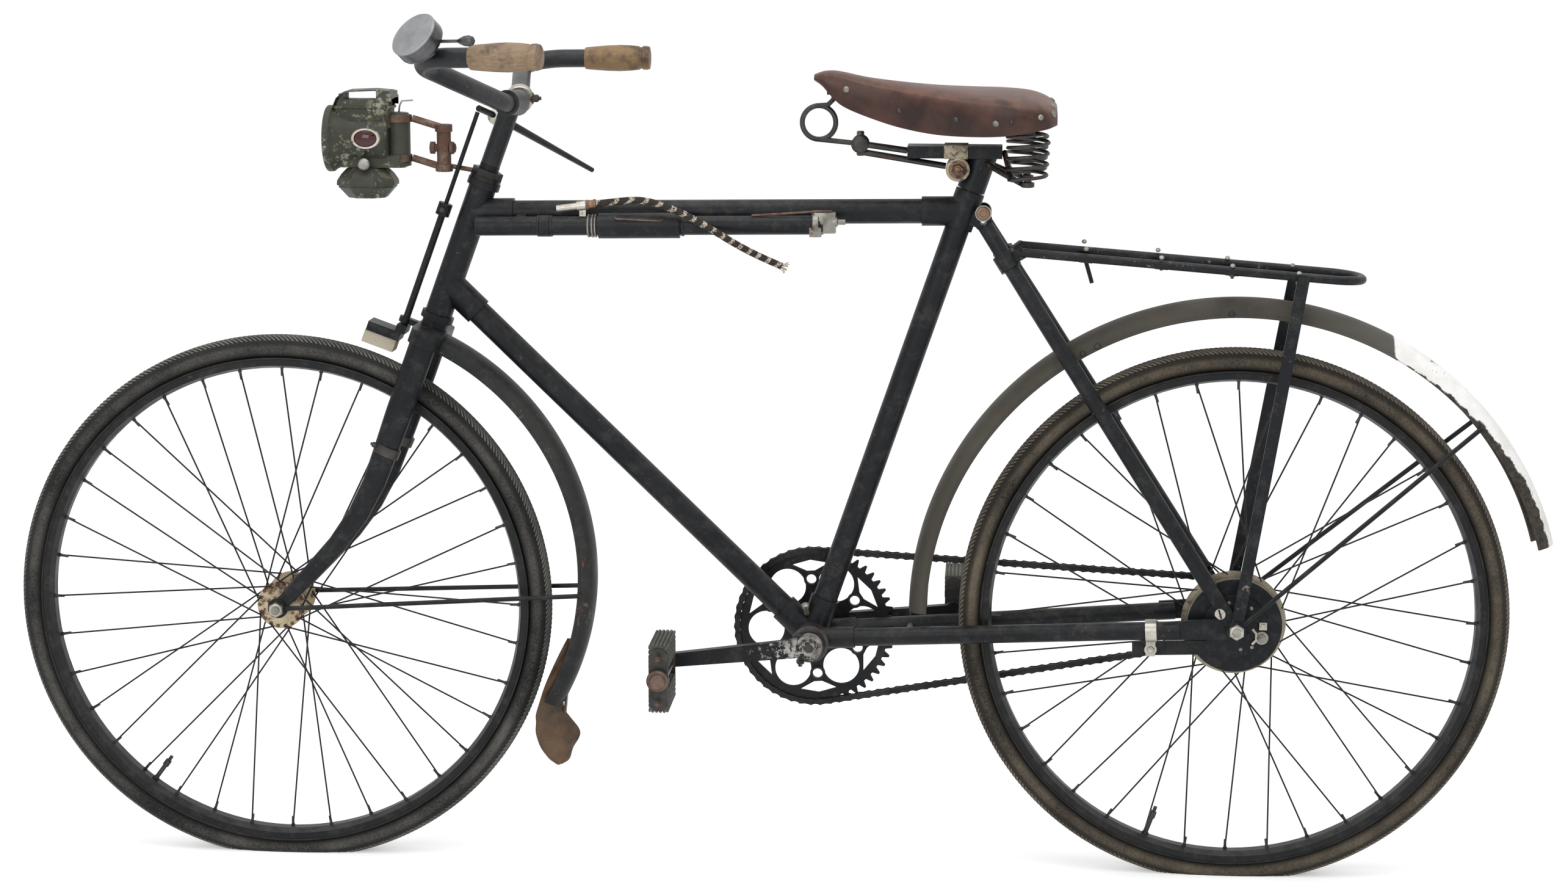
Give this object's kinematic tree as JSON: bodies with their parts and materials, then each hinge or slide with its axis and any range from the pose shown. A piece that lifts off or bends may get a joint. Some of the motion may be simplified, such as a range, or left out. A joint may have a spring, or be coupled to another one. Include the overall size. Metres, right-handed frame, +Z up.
{
  "type": "military bicycle",
  "caption": "Heavy roadster bicycle with diamond frame, sprung saddle, carrier, gas lamp, frame pump, rod brake and rear drum brake; steers, rolls and pedals.",
  "frame": {"origin": "where the rider sits, on top of the saddle over the seat post", "axes": "+X to the front, +Y to the rider's left, +Z up"},
  "size_m": [1.967, 0.5759, 1.113],
  "materials": {
    "frame_paint": "worn black-blue enamel",
    "guard_paint": "worn olive enamel with rust",
    "lamp_paint": "green-black patina",
    "steel": "dull bare steel",
    "nickel": "worn nickel plate",
    "tyre": "aged rubber",
    "leather": "worn brown leather",
    "grip": "worn pale grip",
    "block": "aged grey rubber",
    "hose": "braided cover",
    "brass": "dull brass",
    "flap": "rust-brown flap"
  },
  "bodies": {
    "frame": {"head_tube": "frame_paint", "seat_lug": "frame_paint", "bottom_bracket": "frame_paint", "top_tube": "frame_paint", "down_tube": "frame_paint", "seat_tube": "frame_paint", "chain_stays": "frame_paint", "seat_stays": "frame_paint", "stay_bridges": "frame_paint", "headset_cups": "steel", "seat_post": "steel", "saddle_clamp": "frame_paint", "saddle_leather": "leather", "saddle_springs": "steel", "rear_axle": "steel", "rear_mudguard": "guard_paint", "rear_mudguard_stays": "frame_paint", "carrier": "frame_paint", "carrier_legs": "frame_paint", "pump": "frame_paint", "pump_clips": "frame_paint", "pump_hose": "hose", "hose_fitting": "brass", "brake_plate": "frame_paint", "brake_arm_clip": "nickel", "chain": "steel"},
    "steering": {"fork_crown": "frame_paint", "fork_blades": "frame_paint", "headset_nuts": "steel", "stem": "frame_paint", "handlebar": "frame_paint", "grips": "grip", "bell": "nickel", "brake_lever": "nickel", "brake_rod": "frame_paint", "brake_shoe": "frame_paint", "brake_pad": "block", "front_mudguard": "guard_paint", "mud_flap": "flap", "front_mudguard_stays": "frame_paint", "front_axle": "steel", "lamp_body": "lamp_paint", "lamp_pot": "lamp_paint", "lamp_bracket": "steel"},
    "front_wheel": {"front_tyre": "tyre", "front_rim": "frame_paint", "front_spokes": "steel", "front_hub": "nickel"},
    "rear_wheel": {"rear_tyre": "tyre", "rear_rim": "frame_paint", "rear_spokes": "steel", "rear_hub": "nickel"},
    "sprocket": {"rear_sprocket": "steel"},
    "crankset": {"chainring": "frame_paint", "crank_axle": "steel", "cranks": "steel"},
    "left_pedal": {"pedal_left": "steel", "pedal_rubbers_left": "block"},
    "right_pedal": {"pedal_right": "steel", "pedal_rubbers_right": "block"}
  },
  "joints": [
    {"name": "steering", "type": "hinge", "parent": "frame", "child": "steering", "pos_m": [0.82186, 0, -0.69289], "axis": [-0.342, 0, 0.9397], "range_deg": [-45, 45]},
    {"name": "front_wheel_spin", "type": "hinge", "parent": "steering", "child": "front_wheel", "pos_m": [0.882, 0, -0.671], "axis": [0, 1, 0], "continuous": true},
    {"name": "rear_wheel_spin", "type": "hinge", "parent": "frame", "child": "rear_wheel", "pos_m": [-0.34, 0, -0.671], "axis": [0, 1, 0], "continuous": true},
    {"name": "crank_spin", "type": "hinge", "parent": "frame", "child": "crankset", "pos_m": [0.196, 0, -0.704], "axis": [0, 1, 0], "continuous": true},
    {"name": "sprocket_spin", "type": "hinge", "parent": "frame", "child": "sprocket", "pos_m": [-0.34, 0, -0.671], "axis": [0, 1, 0], "continuous": true},
    {"name": "left_pedal_spin", "type": "hinge", "parent": "crankset", "child": "left_pedal", "pos_m": [0.37683, 0.127, -0.7246], "axis": [0, 1, 0], "continuous": true},
    {"name": "right_pedal_spin", "type": "hinge", "parent": "crankset", "child": "right_pedal", "pos_m": [0.01517, -0.127, -0.6834], "axis": [0, 1, 0], "continuous": true}
  ],
  "couplings": [
    {"joint": "sprocket_spin", "follows": "crank_spin", "ratio": 2.5}
  ]
}
